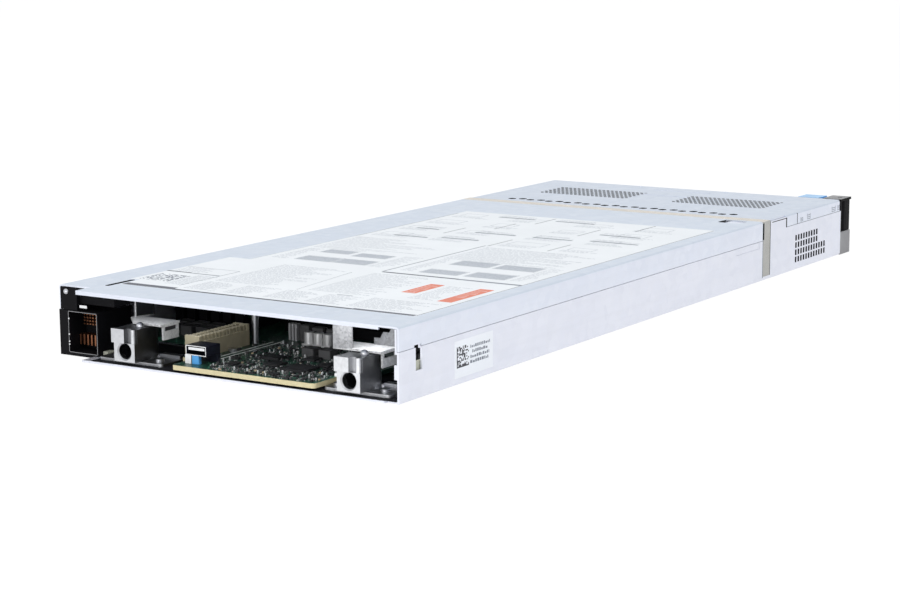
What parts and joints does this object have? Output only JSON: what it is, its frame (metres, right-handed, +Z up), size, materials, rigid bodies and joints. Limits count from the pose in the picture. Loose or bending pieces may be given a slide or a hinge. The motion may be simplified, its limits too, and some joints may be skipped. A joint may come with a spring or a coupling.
{
  "type": "blade server",
  "caption": "Flat single-width blade server sled: sheet-metal tray with sliding cover, rear guide sockets and connectors, board, memory, drive bays and a front handle.",
  "frame": {"origin": "on the base under the middle of the sled", "axes": "+X across the sled towards the power connector's side, +Y towards the connector end, -Y towards the drives and handle, +Z up through the top cover"},
  "size_m": [0.2502, 0.6204, 0.0421],
  "materials": {
    "zinc_sheet": "matte zinc-plated sheet with a faint spangle",
    "zinc_cover": "matte zinc-plated sheet",
    "galvanised": "galvanised with visible spangle",
    "gasket": "conductive cloth over foam",
    "board_green": "solder mask over glass laminate, tan edges",
    "memory_green": "solder mask with black chips",
    "black_plastic": "moulded, fine texture",
    "dark_plastic": "moulded, satin",
    "grey_plastic": "moulded, satin",
    "khaki_plastic": "moulded connector housing",
    "blue_plastic": "moulded touch point",
    "button_orange": "moulded release button",
    "button_white": "moulded button",
    "chip_black": "moulded chip packages",
    "ferrite": "pressed ferrite",
    "diecast": "die-cast, fine grain",
    "fins": "extruded fins",
    "nickel": "nickel plated",
    "can_silver": "drawn cans",
    "steel": "zinc-plated screws",
    "copper": "copper alloy contacts",
    "carrier_metal": "dark satin carrier",
    "lever_metal": "satin lever"
  },
  "bodies": {
    "sled": {"base_tray": "zinc_sheet", "seam_frame": "galvanised", "seam_gasket": "gasket", "cage_top": "zinc_cover", "bay_dividers": "galvanised", "drive_backplane": "board_green", "backplane_connectors": "black_plastic", "system_board": "board_green", "standoffs_and_screws": "steel", "cpu_sockets": "black_plastic", "processors": "nickel", "heatsinks": "fins", "dimm_sockets": "black_plastic", "memory_modules": "memory_green", "power_connector": "black_plastic", "power_contacts": "copper", "connector_shroud": "black_plastic", "corner_bracket": "black_plastic", "guide_block_left": "diecast", "guide_block_right": "diecast", "guide_screws": "steel", "mezz_bracket_left": "galvanised", "mezz_bracket_right": "galvanised", "mezz_connector": "khaki_plastic", "usb_ports": "nickel", "blue_clip": "blue_plastic", "capacitors": "can_silver", "power_coils": "ferrite", "board_chips": "chip_black", "storage_controller": "board_green", "boot_card": "board_green", "coin_cell": "steel", "control_board": "board_green", "panel_housing": "dark_plastic", "panel_base": "grey_plastic", "handle_pin": "steel"},
    "cover": {"top_cover": "zinc_cover"},
    "latch": {"cover_latch": "dark_plastic"},
    "handle": {"handle": "dark_plastic"},
    "release": {"handle_release": "blue_plastic"},
    "power_key": {"power_button": "button_white"},
    "carrier_1": {"drive_1": "carrier_metal"},
    "lever_1": {"drive_lever_1": "lever_metal"},
    "key_1": {"drive_button_1": "button_orange"},
    "carrier_2": {"drive_2": "carrier_metal"},
    "lever_2": {"drive_lever_2": "lever_metal"},
    "key_2": {"drive_button_2": "button_orange"},
    "carrier_3": {"drive_3": "carrier_metal"},
    "lever_3": {"drive_lever_3": "lever_metal"},
    "key_3": {"drive_button_3": "button_orange"},
    "carrier_4": {"drive_4": "carrier_metal"},
    "lever_4": {"drive_lever_4": "lever_metal"},
    "key_4": {"drive_button_4": "button_orange"},
    "carrier_5": {"drive_5": "carrier_metal"},
    "lever_5": {"drive_lever_5": "lever_metal"},
    "key_5": {"drive_button_5": "button_orange"},
    "carrier_6": {"drive_6": "carrier_metal"},
    "lever_6": {"drive_lever_6": "lever_metal"},
    "key_6": {"drive_button_6": "button_orange"}
  },
  "joints": [
    {"name": "cover_slide", "type": "slide", "parent": "sled", "child": "cover", "axis": [0, 1, 0], "range_m": [0, 0.0127]},
    {"name": "latch_press", "type": "slide", "parent": "cover", "child": "latch", "axis": [0, 0, -1], "range_m": [0, 0.0018], "stiffness_N_per_m": 600, "springref_m": -0.001},
    {"name": "handle_swing", "type": "hinge", "parent": "sled", "child": "handle", "pos_m": [-0.1201, -0.30018, 0.028], "axis": [0, 0, -1], "range_deg": [0, 60]},
    {"name": "release_press", "type": "slide", "parent": "handle", "child": "release", "axis": [0, 1, 0], "range_m": [0, 0.002], "stiffness_N_per_m": 800, "springref_m": -0.001},
    {"name": "power_press", "type": "slide", "parent": "sled", "child": "power_key", "axis": [0, 1, 0], "range_m": [0, 0.0012], "stiffness_N_per_m": 500, "springref_m": -0.0008},
    {"name": "drive_slide_1", "type": "slide", "parent": "sled", "child": "carrier_1", "axis": [0, -1, 0], "range_m": [0, 0.1]},
    {"name": "lever_swing_1", "type": "hinge", "parent": "carrier_1", "child": "lever_1", "pos_m": [0.1177, -0.29823, 0.0108], "axis": [0, 0, 1], "range_deg": [0, 75]},
    {"name": "key_press_1", "type": "slide", "parent": "carrier_1", "child": "key_1", "axis": [0, 1, 0], "range_m": [0, 0.0012], "stiffness_N_per_m": 400, "springref_m": -0.0008},
    {"name": "drive_slide_2", "type": "slide", "parent": "sled", "child": "carrier_2", "axis": [0, -1, 0], "range_m": [0, 0.1]},
    {"name": "lever_swing_2", "type": "hinge", "parent": "carrier_2", "child": "lever_2", "pos_m": [0.04465, -0.29823, 0.0108], "axis": [0, 0, 1], "range_deg": [0, 75]},
    {"name": "key_press_2", "type": "slide", "parent": "carrier_2", "child": "key_2", "axis": [0, 1, 0], "range_m": [0, 0.0012], "stiffness_N_per_m": 400, "springref_m": -0.0008},
    {"name": "drive_slide_3", "type": "slide", "parent": "sled", "child": "carrier_3", "axis": [0, -1, 0], "range_m": [0, 0.1]},
    {"name": "lever_swing_3", "type": "hinge", "parent": "carrier_3", "child": "lever_3", "pos_m": [-0.0284, -0.29823, 0.0108], "axis": [0, 0, 1], "range_deg": [0, 75]},
    {"name": "key_press_3", "type": "slide", "parent": "carrier_3", "child": "key_3", "axis": [0, 1, 0], "range_m": [0, 0.0012], "stiffness_N_per_m": 400, "springref_m": -0.0008},
    {"name": "drive_slide_4", "type": "slide", "parent": "sled", "child": "carrier_4", "axis": [0, -1, 0], "range_m": [0, 0.1]},
    {"name": "lever_swing_4", "type": "hinge", "parent": "carrier_4", "child": "lever_4", "pos_m": [0.1177, -0.29823, 0.0306], "axis": [0, 0, 1], "range_deg": [0, 75]},
    {"name": "key_press_4", "type": "slide", "parent": "carrier_4", "child": "key_4", "axis": [0, 1, 0], "range_m": [0, 0.0012], "stiffness_N_per_m": 400, "springref_m": -0.0008},
    {"name": "drive_slide_5", "type": "slide", "parent": "sled", "child": "carrier_5", "axis": [0, -1, 0], "range_m": [0, 0.1]},
    {"name": "lever_swing_5", "type": "hinge", "parent": "carrier_5", "child": "lever_5", "pos_m": [0.04465, -0.29823, 0.0306], "axis": [0, 0, 1], "range_deg": [0, 75]},
    {"name": "key_press_5", "type": "slide", "parent": "carrier_5", "child": "key_5", "axis": [0, 1, 0], "range_m": [0, 0.0012], "stiffness_N_per_m": 400, "springref_m": -0.0008},
    {"name": "drive_slide_6", "type": "slide", "parent": "sled", "child": "carrier_6", "axis": [0, -1, 0], "range_m": [0, 0.1]},
    {"name": "lever_swing_6", "type": "hinge", "parent": "carrier_6", "child": "lever_6", "pos_m": [-0.0284, -0.29823, 0.0306], "axis": [0, 0, 1], "range_deg": [0, 75]},
    {"name": "key_press_6", "type": "slide", "parent": "carrier_6", "child": "key_6", "axis": [0, 1, 0], "range_m": [0, 0.0012], "stiffness_N_per_m": 400, "springref_m": -0.0008}
  ]
}
